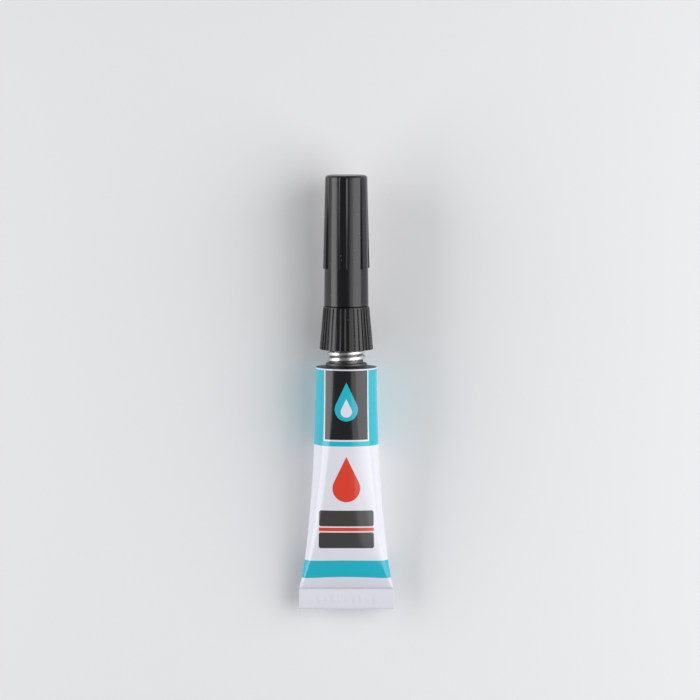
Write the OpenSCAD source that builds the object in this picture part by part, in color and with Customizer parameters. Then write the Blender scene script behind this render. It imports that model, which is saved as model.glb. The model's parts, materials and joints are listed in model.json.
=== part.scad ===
// Super glue tube in millimetres: an aluminium tube with a folded end, a black nozzle that is screwed
// down to pierce the neck, and a black ribbed cap whose needle keeps the nozzle open.
// The tube lies on its back, with its printed front up and its cap towards +Y.
// Every piece is drawn upright on the tube's own axis, from the shoulder, and then laid down.

/* [Tube] */
// Outside diameter of the tube at its shoulder
tube_d = 13.5; // [12:0.1:16]
// Length of the sleeve from the shoulder to the fold
sleeve_len = 48.8; // [42:0.1:70]
// Thickness of the sleeve's wall
sleeve_wall = 0.12; // [0.09:0.01:0.18]
// Height of the folded end
fold_len = 4.8; // [3.5:0.1:7]
// Angle at which the front and the back of the sleeve meet its sides
lens_angle = 20; // [14:1:26]
// Angle between the tube's axis and the shallow hollow that is pressed along its back
hollow_tilt = 3; // [2.6:0.05:3.4]
// Depth of that hollow at the fullest part of the back
hollow_depth = 0.8; // [0.6:0.02:1]
// Radius of that hollow across the back
hollow_r = 16; // [12:0.5:24]

/* [Contents] */
// Thickness of the latex film that seals the fold
seal_t = 0.1; // [0.08:0.01:0.2]
// Length of the latex film
seal_len = 3; // [2:0.1:5]
// Height of the glue's surface above the surface that the tube lies on
fill_level = 5.9; // [5:0.1:9]

/* [Neck] */
// Diameter over the crests of the neck's thread
thread_d = 8.45; // [7.5:0.05:9.5]
// Pitch of the neck's thread
thread_pitch = 1.3; // [1.1:0.05:1.6]
// Depth of the thread
thread_depth = 0.53; // [0.4:0.01:0.6]
// Thickness of the neck's wall under the thread
neck_wall = 0.5; // [0.4:0.05:0.8]
// Height of the shoulder's rim
rim_h = 0.5; // [0.4:0.05:0.8]
// Rise of the shoulder from its rim to the neck
shoulder_rise = 0.3; // [0.1:0.05:0.6]
// Height of the plain base of the neck
neck_base_h = 0.65; // [0.5:0.05:2]
// How far the plain base stands out beyond the thread's crests
neck_base_ledge = 0.33; // [0.2:0.01:0.5]
// Thickness of the membrane that closes the neck
membrane_t = 0.15; // [0.1:0.01:0.3]

/* [Nozzle] */
// How far the nozzle is screwed down to pierce the membrane
pierce_travel = 3.4; // [2.5:0.1:4]
// Height of the ribbed collar
collar_h = 9.5; // [8.5:0.1:12]
// Wall of the collar at its top, from the socket to the crests of its ribs
collar_wall = 0.72; // [0.6:0.02:1]
// How far the collar's foot stands out beyond its top
collar_flare = 0.85; // [0.4:0.05:1.2]
// Thickness of the collar's roof
collar_roof = 1.2; // [0.9:0.1:1.8]
// Number of ribs round the collar
collar_ribs = 32; // [24:2:40]
// Depth of the grooves between the collar's ribs
collar_groove = 0.28; // [0.15:0.01:0.35]
// Diameter of the stem that the cap sits on
stem_d = 7.3; // [6.8:0.1:7.8]
// Height of the stem
stem_h = 4.5; // [3:0.1:6]
// Step in from the stem to the spout
spout_step = 0.8; // [0.4:0.1:1.2]
// Length of the spout above the stem
spout_len = 20.4; // [15:0.1:26]
// Diameter of the spout's tip
tip_d = 2.2; // [1.8:0.1:3]

/* [Cap] */
// Wall of the cap at its mouth
cap_wall = 1.2; // [0.9:0.05:1.5]
// How much smaller the cap's radius is at its top
cap_taper = 0.28; // [0.1:0.02:0.5]
// Thickness of the cap's roof
cap_roof = 1.8; // [1.4:0.1:2.5]
// Room between the spout's tip and the cap's roof
cap_headroom = 2.3; // [1.5:0.1:4]
// Number of ribs on the cap
cap_ribs = 6; // [4:1:8]
// Width of a rib on the cap
cap_rib_w = 1.65; // [1:0.05:2]
// Height of a rib at its foot
cap_rib_h = 0.45; // [0.3:0.01:0.7]
// Plain length of the cap below its ribs
cap_skirt = 8.3; // [5:0.1:12]
// Radius of the edge round the cap's top
cap_edge_r = 0.6; // [0.3:0.05:1]
// Diameter of the needle in the cap
needle_d = 0.8; // [0.6:0.05:1]
// How far the needle reaches into the spout
needle_reach = 4; // [2:0.5:8]

/* [Hidden] */

// Overrun of every cut past the face that it leaves
overrun = 0.2;
// Degrees to radians
per_degree = PI / 180;
tube_r = tube_d / 2;

// The sleeve is a round tube pressed flat without stretching, so each section has the same girth.
// A section is four arcs: a wide one on the front and the back, and a tight one on each side.
section_sides = 64;
section_rings = 24;
belly_power = 1.7;
closing_power = 0.75;
lens_power = 8;
lens_end_share = 0.03;
quarter_girth = 90 * per_degree * tube_r;
side_end_r = sleeve_wall + seal_t / 2;
end_wall = 0.4;

// The fold is the flat end of the sleeve turned over twice, so it is three plies thick.
fold_ply = 2 * side_end_r;
fold_gap = 0.05;
fold_lip = 0.2;
fold_margin = 0.1;
fold_step = fold_ply + fold_gap;
fold_front = fold_ply / 2 + 2 * fold_step;

// The film and the glue lie just clear of the sleeve's wall.
film_clear = 0.02;
film_margin = 1.2;
glue_clear = 0.12;
glue_film_gap = 0.4;
glue_rings = 14;

// The neck and its thread
thread_sides = 28;
thread_steps = 8;
crest_share = 0.25;
root_share = 0.55;
thread_fade = 0.4;
thread_r = thread_d / 2;
thread_root_r = thread_r - thread_depth;
neck_bore_r = thread_root_r - neck_wall;
neck_base_r = thread_r + neck_base_ledge;
neck_base_top = rim_h + shoulder_rise + neck_base_h;
rim_round = rim_h / 2;
membrane_clear = 0.1;

// The nozzle's socket clears the thread and, once screwed down, the shoulder and the neck's mouth.
thread_clear = 0.13;
seat_gap = 0.2;
collar_z = rim_h + shoulder_rise + seat_gap + pierce_travel;
collar_top = collar_z + collar_h;
socket_roof = collar_top - collar_roof;
neck_top = socket_roof - pierce_travel - seat_gap;
socket_r = thread_r + thread_clear;
relief_r = neck_base_r + thread_clear;
relief_top = collar_z + neck_base_h + seat_gap;
nut_turns = 2;
nut_len = nut_turns * thread_pitch;
nut_step = 0.1;
collar_top_r = socket_r + collar_wall;
collar_foot_r = collar_top_r + collar_flare;
groove_share = 0.45;
flank_share = 0.15;
spike_gap = 0.2;
spike_wall = 0.45;
spike_root_wall = 1.2;
spike_z = neck_top + spike_gap;
needle_r = needle_d / 2;
needle_clear = 0.1;
spout_bore_r = needle_r + needle_clear;
stem_r = stem_d / 2;
stem_top = collar_top + stem_h;
spout_top = stem_top + spout_len;

// The cap sits on the stem and stops just above the collar.
cap_clear = 0.05;
cap_z = collar_top + seat_gap / 2;
cap_bore_r = stem_r + cap_clear;
cap_foot_r = cap_bore_r + cap_wall;
cap_top_r = cap_foot_r - cap_taper;
cap_ceiling = spout_top + cap_headroom;
cap_top = cap_ceiling + cap_roof;
cap_len = cap_top - cap_z;
cap_rib_end_h = 0.12;
cap_rib_root = 0.4;
cap_rib_turn = -8;
edge_steps = 6;
needle_grip_share = 0.6;
needle_fit = 0.02;
needle_top = cap_ceiling + cap_roof * needle_grip_share;

// Share of the tube's roundness that is left at a share of the way from the shoulder to the fold
function bulge(t) = pow(1 - pow(t, belly_power), closing_power);
function side_r(t) = side_end_r + (tube_r - side_end_r) * bulge(t);
function lens(t) = lens_angle * max(1 - pow(t, lens_power), lens_end_share);
function face_r(t) = (quarter_girth - side_r(t) * (90 - lens(t)) * per_degree) / (lens(t) * per_degree);
function half_depth(t) = face_r(t) - (face_r(t) - side_r(t)) * cos(lens(t));
function half_width(t) = (face_r(t) - side_r(t)) * sin(lens(t)) + side_r(t);

// Depth of the pressed hollow behind the axis, at a place across the tube and a height on the axis
function back_depth(x, z) = (hollow_low + z * sin(hollow_tilt)) / cos(hollow_tilt) + x * x / (2 * hollow_r);

// Point of a section, measured along its girth from the middle of the front or back, set in by inset
function quarter_point(t, girth, inset) =
    let(on_face = girth <= face_r(t) * lens(t) * per_degree)
    let(past_face = girth - face_r(t) * lens(t) * per_degree)
    let(turn = on_face ? girth / face_r(t) / per_degree : lens(t) + past_face / side_r(t) / per_degree)
    let(r = (on_face ? face_r(t) : side_r(t)) - inset)
    let(offset = face_r(t) - side_r(t))
    let(centre = on_face ? [0, -offset * cos(lens(t))] : [offset * sin(lens(t)), 0])
    centre + r * [sin(turn), cos(turn)];

// One closed section, starting at the middle of the front and running round by the right
function section(t, inset, z) = [
    for (k = [0:section_sides - 1])
        let(place = 4 * k / section_sides)
        let(quarter = floor(place))
        let(part = quarter % 2 == 0 ? place - quarter : 1 - place + quarter)
        let(p = quarter_point(t, part * quarter_girth, inset))
        let(back = min(p.y, back_depth(p.x, z) - inset))
        [quarter < 2 ? p.x : -p.x, quarter == 0 || quarter == 3 ? -p.y : back, z]
];

// Height of a thread's ridge as a share of its depth, at a share of the pitch from the ridge's middle
function ridge(share) = max(0, min(1, (root_share - 2 * abs(share)) / (root_share - crest_share)));
function pitch_share(turn, z) = let(turns = z / thread_pitch - turn) turns - round(turns);
function fade(z, low, high) = max(0, min(1, (z - low) / thread_fade, (high - z) / thread_fade));

// Rings of a threaded barrel: depth is positive for a bolt and negative for a nut
function thread_rings(r, depth, low, high, shift) =
    let(steps = round((high - low) / thread_pitch * thread_steps))
    [
        for (i = [0:steps])
            let(z = high - (high - low) * i / steps)
            [
                for (k = [0:thread_sides - 1])
                    let(turn = k / thread_sides)
                    let(here = r + depth * ridge(pitch_share(turn + shift, z)) * fade(z, low, high))
                    [here * sin(360 * turn), -here * cos(360 * turn), z]
            ]
    ];

// The back is pressed hollow, and the tube lies on its shoulder's rim and on the two edges of the hollow.
hollow_low = -hollow_depth + max([
    for (i = [0:section_rings])
        let(t = i / section_rings)
        half_depth(t) * cos(hollow_tilt) + t * sleeve_len * sin(hollow_tilt)
]);
rest_tilt = atan(min([
    for (i = [1:section_rings])
        let(t = i / section_rings)
        for (p = section(t, 0, -t * sleeve_len))
            if (p.y > 0)
                (tube_r - p.y) / (t * sleeve_len)
]));
axis_z = tube_r * cos(rest_tilt);
tail_y = -(sleeve_len + fold_len) * cos(rest_tilt) - fold_front * sin(rest_tilt);
head_y = cap_top * cos(rest_tilt) + (cap_top_r - cap_edge_r) * sin(rest_tilt);
axis_y = -(tail_y + head_y) / 2;

// From the upright axis to the surface, front up and cap towards +Y
module lay_down() {
    translate([0, axis_y, axis_z]) rotate([rest_tilt - 90, 0, 0]) children();
}

// A closed skin over a stack of rings, each with the same number of points
module loft(rings) {
    n = len(rings[0]);
    last = (len(rings) - 1) * n;
    walls = [
        for (i = [0:len(rings) - 2])
            for (k = [0:n - 1])
                let(next = (k + 1) % n)
                each [
                    [i * n + k, i * n + next, (i + 1) * n + next],
                    [i * n + k, (i + 1) * n + next, (i + 1) * n + k]
                ]
    ];
    first_end = [for (k = [0:n - 1]) n - 1 - k];
    last_end = [for (k = [0:n - 1]) last + k];
    polyhedron(points = [for (ring = rings) each ring], faces = concat([first_end, last_end], walls));
}

// A rectangle between two corners
module slab(low, high) {
    translate(low) square(high - low);
}

// Side view of the fold: the main ply, and the end turned up in front of it and tucked down again
module fold_profile() {
    foot = -sleeve_len - fold_len;
    top = -sleeve_len - fold_lip;
    back = fold_ply / 2;
    slab([-back, foot], [back, -sleeve_len + end_wall / 2]);
    slab([-fold_front, foot], [back, foot + fold_ply]);
    slab([-fold_front, foot], [fold_ply - fold_front, top]);
    slab([-fold_front, top - fold_ply], [-back - fold_gap, top]);
    slab([-back - fold_step, foot + fold_ply + fold_gap], [-back - fold_gap, top]);
}

// Printed aluminium sleeve with its folded end
module tube_sleeve() {
    inner = [
        for (i = [section_rings:-1:0])
            let(t = i / section_rings)
            section(t, sleeve_wall, -t * (sleeve_len - end_wall))
    ];
    outer = [
        for (i = [0:section_rings])
            let(t = i / section_rings)
            section(t, 0, -t * sleeve_len)
    ];
    color("darkturquoise") lay_down() {
        loft(concat(inner, outer));
        rotate([90, 0, 90])
            linear_extrude(height = 2 * (half_width(1) - fold_margin), center = true) fold_profile();
    }
}

// Shoulder and threaded neck, in bare aluminium
module tube_neck() {
    rim = [
        for (i = [0:edge_steps])
            let(a = 90 * i / edge_steps)
            [tube_r - rim_round + rim_round * cos(a), rim_h - rim_round + rim_round * sin(a)]
    ];
    color("silver") lay_down() difference() {
        union() {
            rotate_extrude($fn = 96) polygon(concat(
                [[0, 0], [tube_r, 0]],
                rim,
                [[neck_base_r, rim_h + shoulder_rise], [neck_base_r, neck_base_top], [0, neck_base_top]]
            ));
            loft(thread_rings(thread_root_r, thread_depth, neck_base_top, neck_top, 0));
        }
        translate([0, 0, -overrun])
            cylinder(h = neck_top + 2 * overrun, r = neck_bore_r, $fn = 64);
    }
}

// Thin disc that closes the neck until the nozzle is screwed down
module neck_membrane() {
    color("lightgray") lay_down() translate([0, 0, neck_top - membrane_t])
        cylinder(h = membrane_t, r = neck_bore_r - membrane_clear, $fn = 64);
}

// Latex film between the walls, just above the fold
module end_seal() {
    width = 2 * (half_width(1) - film_margin);
    thickness = seal_t - 2 * film_clear;
    color("wheat") lay_down()
        translate([-width / 2, -thickness / 2, film_clear + end_wall - sleeve_len])
            cube([width, thickness, seal_len]);
}

// Liquid glue, level at the top where the air lies
module glue_fill() {
    end = 1 - (seal_len + glue_film_gap) / (sleeve_len - end_wall);
    rings = [
        for (i = [0:glue_rings])
            let(t = end * i / glue_rings)
            section(t, sleeve_wall + glue_clear, -glue_clear - t * (sleeve_len - end_wall))
    ];
    color("lightyellow") intersection() {
        lay_down() loft(rings);
        translate([-tube_d, axis_y - 2 * sleeve_len, -overrun])
            cube([2 * tube_d, 4 * sleeve_len, fill_level + overrun]);
    }
}

// Outline of the ribbed collar at its foot
module collar_outline() {
    pitch = 360 / collar_ribs;
    low = collar_foot_r - collar_groove;
    rib = [
        [low, 0],
        [low, groove_share],
        [collar_foot_r, groove_share + flank_share],
        [collar_foot_r, 1 - flank_share]
    ];
    polygon([
        for (k = [0:collar_ribs - 1])
            for (p = rib)
                p[0] * [sin(pitch * (k + p[1])), cos(pitch * (k + p[1]))]
    ]);
}

// Black nozzle: ribbed collar with a threaded socket, stem, spout and the spike that pierces the membrane
module nozzle() {
    nut_top = relief_top + nut_len;
    color("#1c1c1e") lay_down() difference() {
        union() {
            difference() {
                union() {
                    translate([0, 0, collar_z])
                        linear_extrude(height = collar_h, scale = collar_top_r / collar_foot_r)
                            collar_outline();
                    translate([0, 0, collar_top]) cylinder(h = stem_h, r = stem_r, $fn = 64);
                    translate([0, 0, stem_top])
                        cylinder(h = spout_len, r1 = stem_r - spout_step, r2 = tip_d / 2, $fn = 64);
                }
                translate([0, 0, collar_z - overrun])
                    cylinder(h = relief_top - collar_z + overrun, r = relief_r, $fn = 64);
                loft(thread_rings(socket_r, -thread_depth, relief_top - overrun, nut_top, 1 / 2));
                translate([0, 0, nut_top - overrun / 2])
                    cylinder(h = socket_roof - nut_top + overrun / 2, r = socket_r + nut_step, $fn = 64);
            }
            translate([0, 0, spike_z]) cylinder(
                h = socket_roof - spike_z + overrun,
                r1 = spout_bore_r + spike_wall,
                r2 = spout_bore_r + spike_root_wall,
                $fn = 64
            );
        }
        translate([0, 0, spike_z - overrun])
            cylinder(h = spout_top - spike_z + 2 * overrun, r = spout_bore_r, $fn = 48);
    }
}

// Radius of the cap's outside at a height
function cap_r(z) = cap_foot_r - cap_taper * (z - cap_z) / cap_len;

// Black cap with six grip ribs that stand out more towards their feet
module cap() {
    foot = cap_z + cap_skirt;
    head = cap_top - cap_edge_r;
    edge = [
        for (i = [0:edge_steps])
            let(a = 90 * i / edge_steps)
            [cap_r(head) - cap_edge_r + cap_edge_r * cos(a), head + cap_edge_r * sin(a)]
    ];
    seat_top = stem_top + seat_gap;
    color("#1c1c1e") lay_down() difference() {
        union() {
            rotate_extrude($fn = 96)
                polygon(concat([[0, cap_z], [cap_foot_r, cap_z]], edge, [[0, cap_top]]));
            for (k = [0:cap_ribs - 1])
                rotate([90, 0, cap_rib_turn - 90 + 360 * k / cap_ribs])
                    linear_extrude(height = cap_rib_w, center = true) polygon([
                        [cap_r(head) - cap_rib_root, foot],
                        [cap_r(foot) + cap_rib_h, foot],
                        [cap_r(head) + cap_rib_end_h, head],
                        [cap_r(head) - cap_rib_root, head]
                    ]);
        }
        translate([0, 0, cap_z - overrun])
            cylinder(h = seat_top - cap_z + overrun, r = cap_bore_r, $fn = 64);
        translate([0, 0, seat_top])
            cylinder(h = cap_ceiling - seat_top, r1 = cap_bore_r, r2 = cap_top_r - cap_wall, $fn = 64);
        translate([0, 0, cap_ceiling - overrun]) cylinder(
            h = needle_top - cap_ceiling + overrun + needle_fit,
            r = needle_r + needle_fit,
            $fn = 32
        );
    }
}

// Steel needle that hangs from the cap's roof into the spout
module cap_needle() {
    color("gainsboro") lay_down() translate([0, 0, spout_top - needle_reach])
        cylinder(h = needle_top - spout_top + needle_reach, r = needle_r, $fn = 32);
}

tube_sleeve();
tube_neck();
neck_membrane();
end_seal();
glue_fill();
nozzle();
cap();
cap_needle();
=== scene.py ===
import json
import math

import bmesh
import bpy
from mathutils import Matrix, Vector, noise


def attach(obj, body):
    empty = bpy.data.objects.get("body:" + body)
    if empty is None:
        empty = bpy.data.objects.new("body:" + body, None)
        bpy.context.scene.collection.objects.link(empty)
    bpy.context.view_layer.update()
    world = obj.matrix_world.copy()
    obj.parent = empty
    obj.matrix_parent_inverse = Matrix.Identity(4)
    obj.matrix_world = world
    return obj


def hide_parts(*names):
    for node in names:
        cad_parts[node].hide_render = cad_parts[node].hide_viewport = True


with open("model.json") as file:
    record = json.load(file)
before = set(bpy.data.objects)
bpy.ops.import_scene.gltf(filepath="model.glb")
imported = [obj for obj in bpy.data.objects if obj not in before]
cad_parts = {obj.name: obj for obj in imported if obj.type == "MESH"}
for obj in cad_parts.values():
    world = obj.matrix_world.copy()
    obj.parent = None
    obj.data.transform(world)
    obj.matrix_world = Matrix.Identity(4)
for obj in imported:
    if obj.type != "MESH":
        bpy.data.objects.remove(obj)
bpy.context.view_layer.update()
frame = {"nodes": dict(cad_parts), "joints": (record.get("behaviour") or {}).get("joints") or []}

# Printed tube: a thin aluminium sleeve, enamelled and printed while it was round, then filled and pressed
# flat at its open end. Its girth stays the same all the way, so it grows wider as it flattens.
# The flat end is turned over twice into a fold that keeps the glue in, and the back is pressed in a little.
mm = 0.001
turn_joint = next(joint for joint in frame["joints"] if joint["name"] == "nozzle_turn")
tube_axis = Vector(turn_joint["axis"]).normalized()
shoulder = Vector(turn_joint["pos_m"])
across = Vector((1, 0, 0))
backward = tube_axis.cross(across)
lay_down = Matrix.Translation(shoulder) @ Matrix((across, backward, tube_axis)).transposed().to_4x4()


def upright_box(node):
    """Lowest and highest corner of a CAD node on the upright tube, in millimetres from its shoulder."""
    stand_up = lay_down.inverted()
    places = [stand_up @ vert.co / mm for vert in frame["nodes"][node].data.vertices]
    return Vector(map(min, zip(*places))), Vector(map(max, zip(*places)))


sleeve_low, sleeve_high = upright_box("tube_sleeve")
tube_r = -sleeve_low.y
sleeve_len = 48.8
sleeve_wall = 0.12
quarter_girth = math.pi / 2 * tube_r
side_end_r = 0.17
lens_angle = math.radians(20)
lens_power = 8
lens_end_share = 0.03
belly_power = 1.7
closing_power = 0.75
hollow_tilt = math.radians(3)
hollow_low = 6.2364
hollow_r = 16
hollow_blend = 0.3
dent_depth = 0.07
dent_size = 7.0


def sleeve_point(t, place, inset):
    """Point at share t of the sleeve's length. Place runs round from -1 to 1, with 0 at the front."""
    side_r = side_end_r + (tube_r - side_end_r) * (1 - t ** belly_power) ** closing_power
    lens = lens_angle * max(1 - t ** lens_power, lens_end_share)
    face_r = (quarter_girth - side_r * (math.pi / 2 - lens)) / lens
    girth = quarter_girth * (1 - abs(1 - 2 * abs(place)))
    past_face = girth - face_r * lens
    offset = face_r - side_r
    if past_face <= 0:
        turn, r, centre = girth / face_r, face_r, Vector((0, -offset * math.cos(lens)))
    else:
        turn, r, centre = lens + past_face / side_r, side_r, Vector((offset * math.sin(lens), 0))
    z = -t * sleeve_len
    around = math.pi * place
    bumps = noise.noise(Vector((math.sin(around) * tube_r, math.cos(around) * tube_r, z)) / dent_size)
    dent = dent_depth * (bumps + 1) / 2 * math.sin(math.pi * t) if inset == 0 else 0
    point = centre + (r - inset - dent) * Vector((math.sin(turn), math.cos(turn)))
    floor = (hollow_low + z * math.sin(hollow_tilt)) / math.cos(hollow_tilt)
    hollow = floor + point.x ** 2 / (2 * hollow_r) - inset
    blend = max(hollow_blend - abs(hollow - point.y), 0) ** 2 / (4 * hollow_blend)
    y = -point.y if abs(place) < 0.5 else min(point.y, hollow) - blend
    return Vector((math.copysign(point.x, place), y, z))


# Rings of points run up the inner wall, then down the outer wall, where they close up towards the fold.
# The printed outside starts a little up the shoulder's rim.
print_start = 0.18
sleeve_sides = 128
outer_rings = 80
inner_rings = 24
inner_end = 0.97
ring_power = 1.5
places = [2 * k / sleeve_sides - 1 for k in range(sleeve_sides)]
inner_shares = [inner_end * (1 - i / inner_rings) for i in range(inner_rings + 1)]
outer_shares = [1 - (1 - i / outer_rings) ** ring_power for i in range(outer_rings + 1)]
rings = [[sleeve_point(t, place, sleeve_wall) for place in places] for t in inner_shares]
rings += [[sleeve_point(0, place, 0) + Vector((0, 0, print_start)) for place in places]]
rings += [[sleeve_point(t, place, 0) for place in places] for t in outer_shares]

tube = bmesh.new()
column_layer = tube.verts.layers.int.new("column")
along_layer = tube.verts.layers.float.new("along")
ring_verts = bmesh.ops.create_circle(tube, segments=sleeve_sides, radius=tube_r)["verts"]
for number, vert in enumerate(ring_verts):
    vert[column_layer] = number
    vert.co = rings[0][number]
ring_edges = tube.edges[:]
inner_mouth = ring_edges
for number, ring in enumerate(rings[1:], start=1):
    grown = bmesh.ops.extrude_edge_only(tube, edges=ring_edges)["geom"]
    ring_verts = [part for part in grown if isinstance(part, bmesh.types.BMVert)]
    new_verts = set(ring_verts)
    new_edges = [part for part in grown if isinstance(part, bmesh.types.BMEdge)]
    ring_edges = [edge for edge in new_edges if new_verts.issuperset(edge.verts)]
    for vert in ring_verts:
        column = vert[column_layer]
        vert.co = ring[column]
        if number == inner_rings + 1:
            vert[along_layer] = -print_start
        elif number > inner_rings + 1:
            vert[along_layer] += (ring[column] - rings[number - 1][column]).length
bmesh.ops.holes_fill(tube, edges=inner_mouth + ring_edges, sides=sleeve_sides)

# The print is laid out on the sleeve's girth and on the distance along its surface from the shoulder.
print_len = -sleeve_low.z
print_layer = tube.loops.layers.uv.new("print")
for face in tube.faces:
    columns = [vert[column_layer] for vert in face.verts]
    wraps = max(columns) - min(columns) > sleeve_sides / 2
    for loop in face.loops:
        column = loop.vert[column_layer]
        share = (column + (sleeve_sides if wraps and column < sleeve_sides / 2 else 0)) / sleeve_sides
        loop[print_layer].uv = share, loop.vert[along_layer] / print_len

# The fold is a ply of flattened tube that runs down, turns up in front of itself and is tucked down again.
fold_ply = 2 * side_end_r
ply_gap = 0.05
fold_margin = 0.02
fold_lip = 0.2
fold_root = 0.2
bend_steps = 8
bend_r = fold_ply + ply_gap
tuck_r = bend_r / 2
fold_half = sleeve_high.x - fold_margin
bend_z = sleeve_low.z + bend_r + fold_ply / 2
tuck_z = -sleeve_len - fold_lip - tuck_r - fold_ply / 2
sleeve_faces = set(tube.faces)
ply_ends = [tube.verts.new((-fold_half, y, fold_root - sleeve_len)) for y in (-fold_ply / 2, fold_ply / 2)]
ply_edge = tube.edges.new(ply_ends)


def run_ply(edge, z):
    """Runs the ply straight from its end edge to a height, and returns its new end edge."""
    grown = bmesh.ops.extrude_edge_only(tube, edges=[edge])["geom"]
    for part in grown:
        if isinstance(part, bmesh.types.BMVert):
            part.co.z = z
    ends = {part for part in grown if isinstance(part, bmesh.types.BMVert)}
    new_edges = [part for part in grown if isinstance(part, bmesh.types.BMEdge)]
    return next(edge for edge in new_edges if ends.issuperset(edge.verts))


def bend_ply(edge, y, z):
    """Turns the ply over about a line across the tube, and returns its new end edge."""
    last = bmesh.ops.spin(
        tube, geom=[edge, *edge.verts], cent=(0, y, z), axis=across, angle=-math.pi, steps=bend_steps
    )["geom_last"]
    return next(part for part in last if isinstance(part, bmesh.types.BMEdge))


ply_edge = run_ply(ply_edge, bend_z)
ply_edge = bend_ply(ply_edge, -bend_r, bend_z)
ply_edge = run_ply(ply_edge, tuck_z)
ply_edge = bend_ply(ply_edge, tuck_r - 2 * bend_r, tuck_z)
run_ply(ply_edge, bend_z)
strip = [face for face in tube.faces if face not in sleeve_faces]
grown = bmesh.ops.extrude_face_region(tube, geom=strip)["geom"]
far_side = [part for part in grown if isinstance(part, bmesh.types.BMVert)]
bmesh.ops.translate(tube, verts=far_side, vec=2 * fold_half * across)

# Plain upright bars stand out a little from the fold, where a tube carries its embossed batch marks.
bar_count = 9
bar_step = 1.55
bar_size = Vector((0.34, 0.12, 1.9))
bar_short_share = 0.6
bar_round = 0.045
bar_z = (sleeve_low.z - sleeve_len) / 2
for number in range(bar_count):
    tall = bar_size.z * (bar_short_share if number % 3 == 1 else 1)
    place = Vector(((number - (bar_count - 1) / 2) * bar_step, -2 * bend_r - fold_ply / 2, bar_z))
    shape = Matrix.Translation(place) @ Matrix.Diagonal((bar_size.x, bar_size.y, tall, 1))
    bar = bmesh.ops.create_cube(tube, size=1, matrix=shape)["verts"]
    bar_edges = list({edge for vert in bar for edge in vert.link_edges})
    bmesh.ops.bevel(
        tube, geom=bar_edges, offset=bar_round, affect="EDGES", segments=2, profile=0.5, material=-1
    )
for face in tube.faces:
    if face not in sleeve_faces:
        for loop in face.loops:
            loop[print_layer].uv = 0.5 + loop.vert.co.x / (4 * quarter_girth), 1
bmesh.ops.recalc_face_normals(tube, faces=tube.faces)


def add_piece(name, bm, crease, *materials):
    """Lays a shape drawn upright in millimetres where it belongs, shaded smooth below a crease angle."""
    bm.transform(lay_down @ Matrix.Scale(mm, 4))
    for face in bm.faces:
        face.smooth = True
    mesh = bpy.data.meshes.new(name)
    bm.to_mesh(mesh)
    bm.free()
    mesh.set_sharp_from_angle(angle=math.radians(crease))
    for material in materials:
        mesh.materials.append(material)
    piece = bpy.data.objects.new(name, mesh)
    bpy.context.scene.collection.objects.link(piece)
    return piece


def new_group(name, inputs, outputs):
    """An empty shader node group with float inputs and outputs of the given names, and its two ends."""
    group = bpy.data.node_groups.new(name, "ShaderNodeTree")
    for socket in inputs:
        group.interface.new_socket(socket, in_out="INPUT", socket_type="NodeSocketFloat")
    for socket in outputs:
        group.interface.new_socket(socket, in_out="OUTPUT", socket_type="NodeSocketFloat")
    return group, group.nodes.new("NodeGroupInput").outputs, group.nodes.new("NodeGroupOutput").inputs


def feed(tree, socket, value):
    """Links a socket to another one, or sets it to a plain value."""
    if isinstance(value, bpy.types.NodeSocket):
        tree.links.new(value, socket)
    else:
        socket.default_value = value


def sum_up(tree, operation, *values, clamp=False):
    """Result of a math node on sockets or plain numbers."""
    node = tree.nodes.new("ShaderNodeMath")
    node.operation = operation
    node.use_clamp = clamp
    for socket, value in zip(node.inputs, values):
        feed(tree, socket, value)
    return node.outputs[0]


def put_group(tree, group, **values):
    """Places a node group and feeds its inputs. Keywords have underscores where their names have spaces."""
    node = tree.nodes.new("ShaderNodeGroup")
    node.node_tree = group
    for name, value in values.items():
        feed(tree, node.inputs[name.replace("_", " ")], value)
    return node.outputs


def grain(tree, scale, detail, stretch=(1, 1, 1)):
    """Soft noise on the piece's own coordinates, with grains about one over scale wide, in metres."""
    place = tree.nodes.new("ShaderNodeTexCoord").outputs["Object"]
    mapping = tree.nodes.new("ShaderNodeMapping")
    mapping.inputs["Scale"].default_value = stretch
    tree.links.new(place, mapping.inputs["Vector"])
    texture = tree.nodes.new("ShaderNodeTexNoise")
    texture.inputs["Scale"].default_value = scale
    texture.inputs["Detail"].default_value = detail
    tree.links.new(mapping.outputs["Vector"], texture.inputs["Vector"])
    return texture.outputs["Fac"]


# Handling leaves every surface a little uneven in its gloss, with a few specks of dust.
finish_group, finish_in, finish_out = new_group(
    "handled_finish", ["Gloss Low", "Gloss High", "Speck Share"], ["Roughness", "Speck", "Height"]
)
smear_scale = 180
fine_scale = 2600
dust_scale = 800
dust_r = 0.08
smears = grain(finish_group, smear_scale, detail=4)
fine = grain(finish_group, fine_scale, detail=2)
gloss_range = finish_group.nodes.new("ShaderNodeMapRange")
gloss_range.inputs["From Min"].default_value = 0.3
gloss_range.inputs["From Max"].default_value = 0.7
feed(finish_group, gloss_range.inputs["Value"], smears)
feed(finish_group, gloss_range.inputs["To Min"], finish_in["Gloss Low"])
feed(finish_group, gloss_range.inputs["To Max"], finish_in["Gloss High"])
dust = finish_group.nodes.new("ShaderNodeTexVoronoi")
dust.inputs["Scale"].default_value = dust_scale
feed(finish_group, dust.inputs["Vector"], finish_group.nodes.new("ShaderNodeTexCoord").outputs["Object"])
dust_pick = finish_group.nodes.new("ShaderNodeSeparateColor")
feed(finish_group, dust_pick.inputs["Color"], dust.outputs["Color"])
speck_mask = sum_up(
    finish_group, "MULTIPLY", sum_up(finish_group, "LESS_THAN", dust.outputs["Distance"], dust_r),
    sum_up(finish_group, "LESS_THAN", dust_pick.outputs["Red"], finish_in["Speck Share"]),
)
feed(finish_group, finish_out["Speck"], speck_mask)
dusty_gloss = sum_up(finish_group, "ADD", gloss_range.outputs["Result"], speck_mask)
feed(finish_group, finish_out["Roughness"], dusty_gloss)
feed(finish_group, finish_out["Height"], sum_up(finish_group, "ADD", fine, speck_mask))

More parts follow.
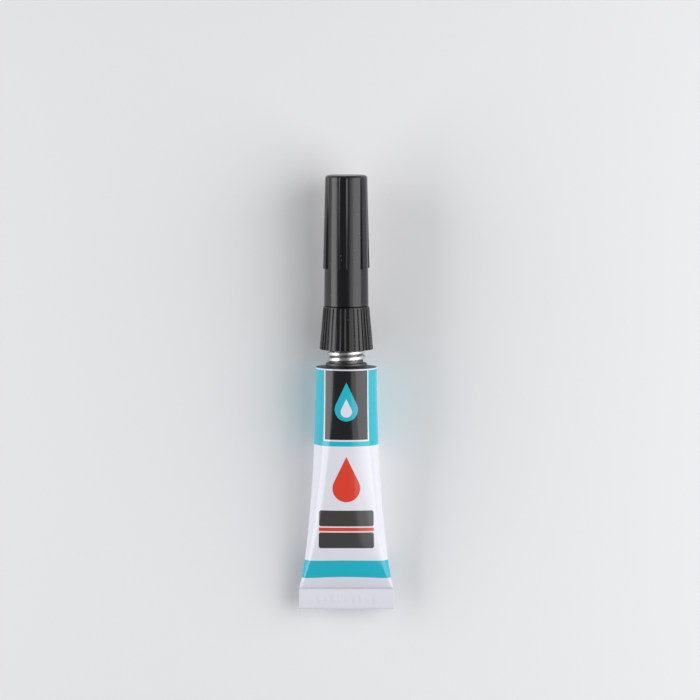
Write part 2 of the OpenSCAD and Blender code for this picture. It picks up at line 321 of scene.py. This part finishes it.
# A printed bar with round corners, and a printed drop, both on the middle line of the flat print.
# Their sizes are in millimetres.
box_group, box_in, box_out = new_group(
    "printed_bar", ["X", "Y", "Centre Y", "Half X", "Half Y", "Corner"], ["Mask"]
)
print_edge = 0.05
along_print = sum_up(box_group, "SUBTRACT", box_in["Y"], box_in["Centre Y"])
over = []
for reach, half in ((box_in["X"], box_in["Half X"]), (along_print, box_in["Half Y"])):
    room = sum_up(box_group, "SUBTRACT", half, box_in["Corner"])
    over.append(sum_up(box_group, "SUBTRACT", sum_up(box_group, "ABSOLUTE", reach), room))
corner = [sum_up(box_group, "POWER", sum_up(box_group, "MAXIMUM", value, 0), 2) for value in over]
outside = sum_up(box_group, "SQRT", sum_up(box_group, "ADD", *corner))
inside = sum_up(box_group, "MINIMUM", sum_up(box_group, "MAXIMUM", *over), 0)
gap = sum_up(box_group, "SUBTRACT", sum_up(box_group, "ADD", outside, inside), box_in["Corner"])
bar_mask = sum_up(box_group, "MULTIPLY_ADD", gap, -1 / print_edge, 0.5, clamp=True)
feed(box_group, box_out["Mask"], bar_mask)

drop_group, drop_in, drop_out = new_group("printed_drop", ["X", "Y", "Centre Y", "Radius"], ["Mask"])
drop_reach = 2.3
tip_angle = math.asin(1 / drop_reach)
dx = drop_in["X"]
dy = sum_up(drop_group, "SUBTRACT", drop_in["Y"], drop_in["Centre Y"])
squares = [sum_up(drop_group, "POWER", value, 2) for value in (dx, dy)]
from_centre = sum_up(drop_group, "SQRT", sum_up(drop_group, "ADD", *squares))
round_gap = sum_up(drop_group, "SUBTRACT", from_centre, drop_in["Radius"])
from_tip = sum_up(drop_group, "MULTIPLY_ADD", drop_in["Radius"], drop_reach, dy)
slope_gap = sum_up(drop_group, "MULTIPLY", sum_up(drop_group, "ABSOLUTE", dx), math.cos(tip_angle))
slope_gap = sum_up(drop_group, "MULTIPLY_ADD", from_tip, -math.sin(tip_angle), slope_gap)
below_touch = sum_up(drop_group, "MULTIPLY_ADD", drop_in["Radius"], math.sin(tip_angle), dy)
cone_gap = sum_up(drop_group, "MAXIMUM", slope_gap, below_touch)
drop_gap = sum_up(drop_group, "MINIMUM", round_gap, cone_gap)
drop_mask = sum_up(drop_group, "MULTIPLY_ADD", drop_gap, -1 / print_edge, 0.5, clamp=True)
feed(drop_group, drop_out["Mask"], drop_mask)


def new_material(name):
    """A node material with its shader, ready for sockets to be fed."""
    material = bpy.data.materials.new(name)
    material.use_nodes = True
    return material, material.node_tree, material.node_tree.nodes["Principled BSDF"].inputs


def add_bump(tree, shader, height, strength, distance):
    """Feeds a height to the shader's normal."""
    bump = tree.nodes.new("ShaderNodeBump")
    bump.inputs["Strength"].default_value = strength
    bump.inputs["Distance"].default_value = distance
    tree.links.new(height, bump.inputs["Height"])
    tree.links.new(bump.outputs["Normal"], shader["Normal"])


def layer_colour(tree, mask, under, over):
    """One ink over another, where the mask is 1."""
    mix = tree.nodes.new("ShaderNodeMix")
    mix.data_type = "RGBA"
    feed(tree, mix.inputs["Factor"], mask)
    feed(tree, mix.inputs["A"], under)
    feed(tree, mix.inputs["B"], over)
    return mix.outputs["Result"]


white_ink = (0.76, 0.76, 0.83, 1)
teal_ink = (0.016, 0.46, 0.57, 1)
black_ink = (0.012, 0.012, 0.013, 1)
grey_ink = (0.055, 0.052, 0.05, 1)
red_ink = (0.72, 0.055, 0.03, 1)
cloud_scale = 60
cloud_share = 0.97
past_rim = -1
top_band_end = 16.6
low_band = (42.5, 46.6)
panel_end = 15.5
panel_half = 5.4
panel_line = 0.35
panel_drop = (8.4, 2.6)
inner_drop = (8.9, 1.25)
red_drop = (26.0, 3.1)
stripe_half = 6.2
stripes = [(31.0, 34.6, 0.5, grey_ink), (34.9, 35.7, 0.2, red_ink), (36.0, 39.6, 0.5, grey_ink)]


def enamel(name, printed):
    """Glossy white enamel, with the tube's inks over it where it is printed."""
    material, tree, shader = new_material(name)
    wear = put_group(tree, finish_group, Gloss_Low=0.11, Gloss_High=0.2, Speck_Share=0.3)
    cloud = grain(tree, cloud_scale, detail=3)
    colour = layer_colour(tree, cloud, white_ink, [cloud_share * part for part in white_ink[:3]] + [1])
    if printed:
        uv = tree.nodes.new("ShaderNodeUVMap")
        uv.uv_map = "print"
        place = tree.nodes.new("ShaderNodeSeparateXYZ")
        tree.links.new(uv.outputs["UV"], place.inputs["Vector"])
        x = sum_up(tree, "MULTIPLY_ADD", place.outputs["X"], 4 * quarter_girth, -2 * quarter_girth)
        y = sum_up(tree, "MULTIPLY", place.outputs["Y"], print_len)

        def bar(low_y, high_y, half_x, corner_r=0.0):
            return put_group(
                tree, box_group, X=x, Y=y, Centre_Y=(low_y + high_y) / 2, Half_X=half_x,
                Half_Y=(high_y - low_y) / 2, Corner=corner_r,
            )["Mask"]

        def drop(centre_y, radius):
            return put_group(tree, drop_group, X=x, Y=y, Centre_Y=centre_y, Radius=radius)["Mask"]

        all_round = 2 * tube_r * math.pi
        layers = [
            (bar(past_rim, top_band_end, all_round), teal_ink),
            (bar(*low_band, all_round), teal_ink),
            (bar(past_rim, panel_end, panel_half), white_ink),
            (bar(past_rim, panel_end - panel_line, panel_half - panel_line), black_ink),
            (drop(*panel_drop), teal_ink),
            (drop(*inner_drop), white_ink),
            (drop(*red_drop), red_ink),
        ]
        layers += [(bar(low, high, stripe_half, corner_r), ink) for low, high, corner_r, ink in stripes]
        for mask, ink in layers:
            colour = layer_colour(tree, mask, colour, ink)
    tree.links.new(colour, shader["Base Color"])
    tree.links.new(wear["Roughness"], shader["Roughness"])
    add_bump(tree, shader, wear["Height"], strength=0.06, distance=0.02 * mm)
    return material


printed_enamel = enamel("printed_enamel", printed=True)
sleeve_crease = 40
printed_tube = add_piece("printed_tube", tube, sleeve_crease, printed_enamel)
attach(printed_tube, "tube")
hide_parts("tube_sleeve")

# Shoulder and neck: the thick end of the same aluminium extrusion, left bare. Its shoulder, neck base and
# thread root are coloured very dark as painted shade and painted dark reflection; only the thread's bead
# keeps the bright aluminium.
# White enamel stops just below the edge of the shoulder, and the nozzle screws onto the thread.
neck_high = upright_box("tube_neck")[1]
rim_h = 0.5
rim_round = 0.14
rim_enamel_h = 0.29
rim_step = 0.15
shoulder_rise = 0.3
neck_base_h = 0.65
neck_base_r = 4.555
thread_root_r = 3.695
thread_crest_r = 4.225
thread_pitch = 1.3
thread_low = 1.95
thread_high = 8.7
thread_phase = 0.14
neck_bore_r = 3.195
edge_round = 0.12
base_fillet = 0.5
base_draft = 0.1
base_round = 0.2
arc_steps = 4


def soften(corners):
    """Points of an outline from (radius, height, rounding, rib) corners, each rounding drawn as an arc."""
    points = []
    count = len(corners)
    for number, (radius, height, rounding, rib) in enumerate(corners):
        here = Vector((radius, height, rib))
        if not rounding:
            points.append(here)
            continue
        ends = []
        for other in (corners[number - 1], corners[(number + 1) % count]):
            away = Vector((other[0], other[1], other[3])) - here
            ends.append(here + away * min(0.5, rounding / away.xy.length))
        for step in range(arc_steps + 1):
            s = step / arc_steps
            points.append((1 - s) ** 2 * ends[0] + 2 * s * (1 - s) * here + s * s * ends[1])
    return points


def turn_solid(corners, steps, rib_share=None):
    """A solid turned about the tube's axis. A corner's rib adds to its radius by rib_share at each angle."""
    bm = bmesh.new()
    rib_layer = bm.verts.layers.float.new("rib")
    outline = []
    for point in soften(corners):
        vert = bm.verts.new((0, -point.x, point.y))
        vert[rib_layer] = point.z
        outline.append(vert)
    last = None if corners[0][0] == 0 else outline[0]
    pairs = zip(outline, outline[1:] + ([last] if last else []))
    edges = [bm.edges.new(pair) for pair in pairs]
    bmesh.ops.spin(
        bm, geom=outline + edges, cent=(0, 0, 0), axis=(0, 0, 1), angle=2 * math.pi, steps=steps,
        use_merge=True,
    )
    bmesh.ops.remove_doubles(bm, verts=bm.verts, dist=1e-4)
    bmesh.ops.recalc_face_normals(bm, faces=bm.faces)
    if rib_share:
        for vert in bm.verts:
            if vert[rib_layer]:
                turn = math.atan2(vert.co.x, -vert.co.y)
                vert.co.xy *= 1 + vert[rib_layer] * rib_share(turn) / vert.co.xy.length
    return bm


def wind_thread(bm, root_r, crest_r, low, high, phase, bead_w):
    """A right-hand thread wound round the axis between two heights. It fades out at both ends."""
    half_bead_shares = [(0, 0.42), (0.5, 0.36), (0.88, 0.25), (1, 0.11)]
    bead_shares = [(rise, -lift) for rise, lift in half_bead_shares] + half_bead_shares[::-1]
    turn_steps = 72
    run_out_turns = 0.2
    sunk = 0.08
    foot_r = root_r + math.copysign(sunk, root_r - crest_r)
    turns = (high - low) / thread_pitch
    steps = round(turns * turn_steps)
    rise_layer = bm.verts.layers.float.new("rise")
    lift_layer = bm.verts.layers.float.new("lift")
    turned = Matrix.Rotation(2 * math.pi * (low / thread_pitch + phase), 4, "Z")
    section = []
    for rise, lift in bead_shares:
        vert = bm.verts.new(turned @ Vector((0, -foot_r, low + lift * bead_w)))
        vert[rise_layer] = rise
        vert[lift_layer] = lift * bead_w
        section.append(vert)
    edges = [bm.edges.new((section[k], section[k - 1])) for k in range(len(section))]
    bmesh.ops.spin(
        bm, geom=section + edges, cent=(0, 0, 0), axis=(0, 0, 1), angle=2 * math.pi * turns, steps=steps,
        dvec=(0, 0, (high - low) / steps),
    )
    for vert in bm.verts:
        if vert[rise_layer]:
            run = vert.co.z - vert[lift_layer]
            run_out = run_out_turns * thread_pitch
            grown = min(1, (run - low) / run_out, (high - run) / run_out)
            vert.co.xy *= 1 + vert[rise_layer] * grown * (crest_r - foot_r) / foot_r


neck = turn_solid(
    [
        (neck_bore_r, 0, 0, 0),
        (tube_r - rim_step, 0, 0, 0),
        (tube_r - rim_step, print_start, 0, 0),
        (tube_r, print_start, 0, 0),
        (tube_r, print_start + rim_enamel_h, 0, 0),
        (tube_r, rim_h, rim_round, 0),
        (neck_base_r, rim_h + shoulder_rise, base_fillet, 0),
        (neck_base_r - base_draft, rim_h + shoulder_rise + neck_base_h, base_round, 0),
        (thread_root_r, rim_h + shoulder_rise + neck_base_h, edge_round, 0),
        (thread_root_r, neck_high.z, edge_round, 0),
        (neck_bore_r, neck_high.z, edge_round, 0),
    ],
    sleeve_sides,
)
# Every face but the rim's enamel takes the very dark aluminium: painted shade in the thread root, and
# painted dark reflection on the shoulder and neck base. The thread's bead, wound on next, keeps the plain
# bright aluminium.
for face in neck.faces:
    middle = face.calc_center_median()
    face.material_index = 1 if middle.z < print_start + rim_enamel_h else 2
wind_thread(neck, thread_root_r, thread_crest_r, thread_low, thread_high, thread_phase, thread_pitch)
bmesh.ops.recalc_face_normals(neck, faces=neck.faces)

lathe_scale = 220
lathe_stretch = (1, 60, 1)


def aluminium(name, dark, bright, low_gloss, high_gloss):
    """Bare turned aluminium, between two shades along its lathe lines."""
    material, tree, shader = new_material(name)
    wear = put_group(tree, finish_group, Gloss_Low=low_gloss, Gloss_High=high_gloss, Speck_Share=0.1)
    lathe_lines = grain(tree, lathe_scale, detail=3, stretch=lathe_stretch)
    shade = layer_colour(tree, lathe_lines, (dark, dark, dark, 1), (bright, bright, bright, 1))
    tree.links.new(shade, shader["Base Color"])
    shader["Metallic"].default_value = 1
    tree.links.new(wear["Roughness"], shader["Roughness"])
    add_bump(tree, shader, lathe_lines, strength=0.08, distance=0.01 * mm)
    return material


bare_aluminium = aluminium("bare_aluminium", dark=0.62, bright=0.78, low_gloss=0.22, high_gloss=0.34)
# Painted shade and painted dark reflection: a very dark aluminium colour for the shoulder, neck base and
# thread root.
painted_shade_aluminium = aluminium("painted_shade_aluminium", dark=0.05, bright=0.16, low_gloss=0.32, high_gloss=0.5)
rim_enamel = enamel("rim_enamel", printed=False)
neck_crease = 35
threaded_neck = add_piece("threaded_neck", neck, neck_crease, bare_aluminium, rim_enamel, painted_shade_aluminium)
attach(threaded_neck, "tube")
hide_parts("tube_neck")

# Membrane: a thin disc of the same aluminium that closes the neck until the nozzle's spike cuts it.
# It is never seen while the nozzle is on.
frame["nodes"]["neck_membrane"].data.materials.clear()
frame["nodes"]["neck_membrane"].data.materials.append(bare_aluminium)

# Latex film: a smear of dried latex between the walls just above the fold, which seals it.
# It is shut inside the tube.
latex, tree, shader = new_material("latex")
blotch_scale = 700
latex_dark = (0.5, 0.36, 0.18, 1)
latex_pale = (0.66, 0.52, 0.3, 1)
blotches = grain(tree, blotch_scale, detail=4)
shade = layer_colour(tree, blotches, latex_dark, latex_pale)
tree.links.new(shade, shader["Base Color"])
shader["Roughness"].default_value = 0.7
add_bump(tree, shader, blotches, strength=0.3, distance=0.05 * mm)
frame["nodes"]["end_seal"].data.materials.clear()
frame["nodes"]["end_seal"].data.materials.append(latex)

# Glue: a clear, thin liquid that lies level in the tube, with air above it.
# It is shut inside the tube.
glue, tree, shader = new_material("glue")
swirl_scale = 120
glue_dark = (0.8, 0.79, 0.66, 1)
glue_pale = (0.86, 0.85, 0.76, 1)
swirls = grain(tree, swirl_scale, detail=2)
shade = layer_colour(tree, swirls, glue_dark, glue_pale)
tree.links.new(shade, shader["Base Color"])
shader["Roughness"].default_value = 0.05
frame["nodes"]["glue_fill"].data.materials.clear()
frame["nodes"]["glue_fill"].data.materials.append(glue)

# Nozzle: one moulding in glossy black plastic, with a ribbed collar that fingers turn, a threaded socket
# that fits the neck, a stem for the cap, a long spout, and a spike inside that pierces the membrane.
nozzle_low, nozzle_high = upright_box("nozzle")
collar_z = nozzle_low.z
collar_h = 9.5
collar_top = collar_z + collar_h
collar_foot_r = nozzle_high.x
collar_top_r = 5.075
collar_groove = 0.28
collar_ribs = 32
groove_share = 0.58
rib_power = 0.7
rib_steps = 14
groove_lip = 0.02
collar_round = 0.15
stem_round = 0.3
mould_round = 0.2
lip_round = 0.1
bore_round = 0.05
ledge_h = 0.25
ledge_step = 0.05
thread_clear = 0.13
seat_gap = 0.2
relief_r = neck_base_r + thread_clear
relief_top = collar_z + neck_base_h + seat_gap
socket_r = 4.455
nut_r = 4.355
nut_len = 2.6
nut_step = 0.1
nut_run_in = 0.4
nut_bead_share = 0.55
collar_roof = 1.2
socket_roof = collar_top - collar_roof
spike_z = neck_high.z + seat_gap
spike_wall = 0.45
spike_root_wall = 1.2
spout_bore_r = 0.5
stem_r = 3.65
stem_h = 4.5
stem_top = collar_top + stem_h
spout_foot_r = 2.85
tip_r = 1.1


def collar_rib(turn):
    """How far the collar is cut back at an angle, as a share of the groove's depth, between round ribs."""
    share = (turn / (2 * math.pi) * collar_ribs) % 1
    across_rib = max(share - groove_share, 0) / (1 - groove_share)
    return 1 - math.sin(math.pi * across_rib) ** rib_power


groove_foot = -collar_groove
groove_top = -collar_groove * collar_top_r / collar_foot_r
nozzle_solid = turn_solid(
    [
        (relief_r, collar_z, lip_round, 0),
        (collar_foot_r, collar_z, collar_round, groove_foot),
        (collar_top_r + groove_lip, collar_top - ledge_h - ledge_step, 0, groove_top),
        (collar_top_r, collar_top - ledge_h, 0, 0),
        (collar_top_r, collar_top, edge_round, 0),
        (stem_r, collar_top, collar_round, 0),
        (stem_r, stem_top, stem_round, 0),
        (spout_foot_r, stem_top, mould_round, 0),
        (tip_r, nozzle_high.z, mould_round, 0),
        (spout_bore_r, nozzle_high.z, lip_round, 0),
        (spout_bore_r, spike_z, bore_round, 0),
        (spout_bore_r + spike_wall, spike_z, lip_round, 0),
        (spout_bore_r + spike_root_wall, socket_roof, mould_round, 0),
        (socket_r, socket_roof, mould_round, 0),
        (socket_r, relief_top + nut_len, 0, 0),
        (nut_r, relief_top + nut_len - nut_step, 0, 0),
        (nut_r, relief_top, bore_round, 0),
        (relief_r, relief_top, bore_round, 0),
    ],
    collar_ribs * rib_steps,
    collar_rib,
)
nut_crest_r = nut_r + thread_root_r - thread_crest_r
nut_low = relief_top + nut_run_in
nut_high = relief_top + nut_len - nut_run_in
nut_bead_w = nut_bead_share * thread_pitch
nut_phase = thread_phase + 0.5
wind_thread(nozzle_solid, nut_r, nut_crest_r, nut_low, nut_high, nut_phase, nut_bead_w)
bmesh.ops.recalc_face_normals(nozzle_solid, faces=nozzle_solid.faces)

black_plastic, tree, shader = new_material("black_plastic")
wear = put_group(tree, finish_group, Gloss_Low=0.17, Gloss_High=0.25, Speck_Share=0.5)
plastic_black = (0.0045, 0.0045, 0.0055, 1)
dust_grey = (0.15, 0.15, 0.15, 1)
shade = layer_colour(tree, wear["Speck"], plastic_black, dust_grey)
tree.links.new(shade, shader["Base Color"])
tree.links.new(wear["Roughness"], shader["Roughness"])
add_bump(tree, shader, wear["Height"], strength=0.08, distance=0.02 * mm)

nozzle_crease = 45
nozzle_piece = add_piece("screw_nozzle", nozzle_solid, nozzle_crease, black_plastic)
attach(nozzle_piece, "nozzle")
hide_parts("nozzle")

# Cap: a long hollow moulding in the same black plastic, pushed over the spout onto the stem.
# Six grip ribs rise along it from its closed end and stop short of its plain skirt.
cap_low, cap_high = upright_box("cap")
cap_foot_r = 4.9
cap_taper = 0.28
cap_edge_r = 0.6
cap_skirt = 8.3
cap_ribs = 6
cap_rib_w = 1.65
cap_rib_h = 0.45
cap_rib_end_h = 0.12
cap_rib_turn = math.radians(-8)
cap_flank = 0.16
cap_rib_steps = 40
cap_round = 0.3
cap_bore_r = 3.7
cap_wall = 1.2
cap_roof = 1.8
cap_ceiling = cap_high.z - cap_roof
cap_len = cap_high.z - cap_low.z
cap_seat_top = stem_top + seat_gap
needle_low, needle_high = upright_box("cap_needle")
needle_r = 0.4
needle_fit = 0.02


def cap_r(z):
    """Radius of the cap's outside at a height, between its ribs."""
    return cap_foot_r - cap_taper * (z - cap_low.z) / cap_len


def cap_rib(turn):
    """Height of a grip rib at an angle, as a share of its full height."""
    pitch = 2 * math.pi / cap_ribs
    off = abs((turn - cap_rib_turn + pitch / 2) % pitch - pitch / 2) * cap_foot_r
    return min(max((cap_rib_w / 2 + cap_flank / 2 - off) / cap_flank, 0), 1)


rib_lead = 0.06
end_bevel = 0.12
rib_foot = cap_low.z + cap_skirt
rib_head = cap_high.z - cap_edge_r
cap_solid = turn_solid(
    [
        (0, needle_high.z + needle_fit, 0, 0),
        (needle_r + needle_fit, needle_high.z + needle_fit, 0, 0),
        (needle_r + needle_fit, cap_ceiling, 0, 0),
        (cap_r(cap_high.z) - cap_wall, cap_ceiling, cap_round, 0),
        (cap_bore_r, cap_seat_top, 0, 0),
        (cap_bore_r, cap_low.z, collar_round, 0),
        (cap_foot_r, cap_low.z, collar_round, 0),
        (cap_r(rib_foot - rib_lead), rib_foot - rib_lead, 0, 0),
        (cap_r(rib_foot), rib_foot, lip_round, cap_rib_h),
        (cap_r(rib_head), rib_head, cap_round, cap_rib_end_h),
        (cap_r(rib_head) - end_bevel, cap_high.z - cap_edge_r / 2, mould_round, 0),
        (cap_r(rib_head) - cap_edge_r, cap_high.z, cap_round, 0),
        (0, cap_high.z, 0, 0),
    ],
    cap_ribs * cap_rib_steps,
    cap_rib,
)
cap_crease = 30
cap_piece = add_piece("ribbed_cap", cap_solid, cap_crease, black_plastic)
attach(cap_piece, "cap")
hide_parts("cap")

# Needle: a short pin of bright steel wire, pressed into the cap's roof, with a rounded point that keeps
# the spout's opening clear of dry glue.
needle_point = 1.2
needle_point_share = 0.5
needle_round = 0.3
needle_sides = 32
needle_crease = 35
needle = turn_solid(
    [
        (0, needle_low.z, 0, 0),
        (needle_r * needle_point_share, needle_low.z, lip_round, 0),
        (needle_r, needle_low.z + needle_point, needle_round, 0),
        (needle_r, needle_high.z, bore_round, 0),
        (0, needle_high.z, 0, 0),
    ],
    needle_sides,
)
needle_steel, tree, shader = new_material("needle_steel")
wear = put_group(tree, finish_group, Gloss_Low=0.2, Gloss_High=0.32, Speck_Share=0.1)
wire_scale = 3000
wire_stretch = (1, 0.05, 1)
steel_dark = (0.5, 0.5, 0.51, 1)
steel_pale = (0.68, 0.68, 0.69, 1)
drawn_lines = grain(tree, wire_scale, detail=2, stretch=wire_stretch)
shade = layer_colour(tree, drawn_lines, steel_dark, steel_pale)
tree.links.new(shade, shader["Base Color"])
shader["Metallic"].default_value = 1
tree.links.new(wear["Roughness"], shader["Roughness"])
add_bump(tree, shader, drawn_lines, strength=0.1, distance=0.02 * mm)
needle_piece = add_piece("cap_pin", needle, needle_crease, needle_steel)
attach(needle_piece, "needle")
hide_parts("cap_needle")

# Floor, light and camera: a plain pale floor, a low softbox on the left, a broad one on the right with
# a faint one above it, and a camera above the tube's front that leans a little towards the cap.
floor_size = 3.0
floor_mesh = bmesh.new()
bmesh.ops.create_grid(floor_mesh, x_segments=1, y_segments=1, size=floor_size)
floor_data = bpy.data.meshes.new("floor")
floor_mesh.to_mesh(floor_data)
floor_mesh.free()
floor = bpy.data.objects.new("floor", floor_data)
bpy.context.scene.collection.objects.link(floor)
pale, tree, shader = new_material("pale_floor")
shader["Base Color"].default_value = (0.82, 0.82, 0.83, 1)
shader["Roughness"].default_value = 0.8
floor_data.materials.append(pale)


def softbox(name, place, wide, tall, radiance):
    """A rectangular light that faces the tube, wide along it and tall across."""
    light = bpy.data.lights.new(name, "AREA")
    light.shape = "RECTANGLE"
    light.size = wide
    light.size_y = tall
    light.energy = radiance * wide * tall * math.pi
    lamp = bpy.data.objects.new(name, light)
    away = Vector(place).normalized()
    along = Vector((0, 1, 0))
    facing = Matrix((along, away.cross(along), away)).transposed().to_4x4()
    lamp.matrix_world = Matrix.Translation(place) @ facing
    bpy.context.scene.collection.objects.link(lamp)


softbox_len = 0.6
softbox("left_softbox", (-0.42, 0, 0.165), softbox_len, tall=0.28, radiance=3.6)
softbox("right_softbox", (0.40, 0, 0.24), softbox_len, tall=0.42, radiance=2.9)
softbox("high_softbox", (0.21, 0, 0.43), softbox_len, tall=0.14, radiance=1.4)

world = bpy.data.worlds.new("studio")
world.use_nodes = True
world.node_tree.nodes["Background"].inputs["Color"].default_value = (0.93, 0.96, 1.0, 1)
world.node_tree.nodes["Background"].inputs["Strength"].default_value = 0.2
bpy.context.scene.world = world

lean_to_tube = math.radians(5)
view_lean = lean_to_tube - math.asin(tube_axis.z)
view_far = 0.8
view_width = 0.1547
view_centre = Vector((0.81, 0, 4.2))
target = lay_down @ (view_centre * mm)
view_back = Vector((0, math.sin(view_lean), math.cos(view_lean)))
lens = bpy.data.cameras.new("camera")
lens.lens = lens.sensor_width * view_far / view_width
camera = bpy.data.objects.new("camera", lens)
camera.matrix_world = (
    Matrix.Translation(target + view_far * view_back)
    @ Matrix((across, view_back.cross(across), view_back)).transposed().to_4x4()
)
bpy.context.scene.collection.objects.link(camera)
bpy.context.scene.camera = camera
bpy.context.scene.view_settings.view_transform = "Standard"
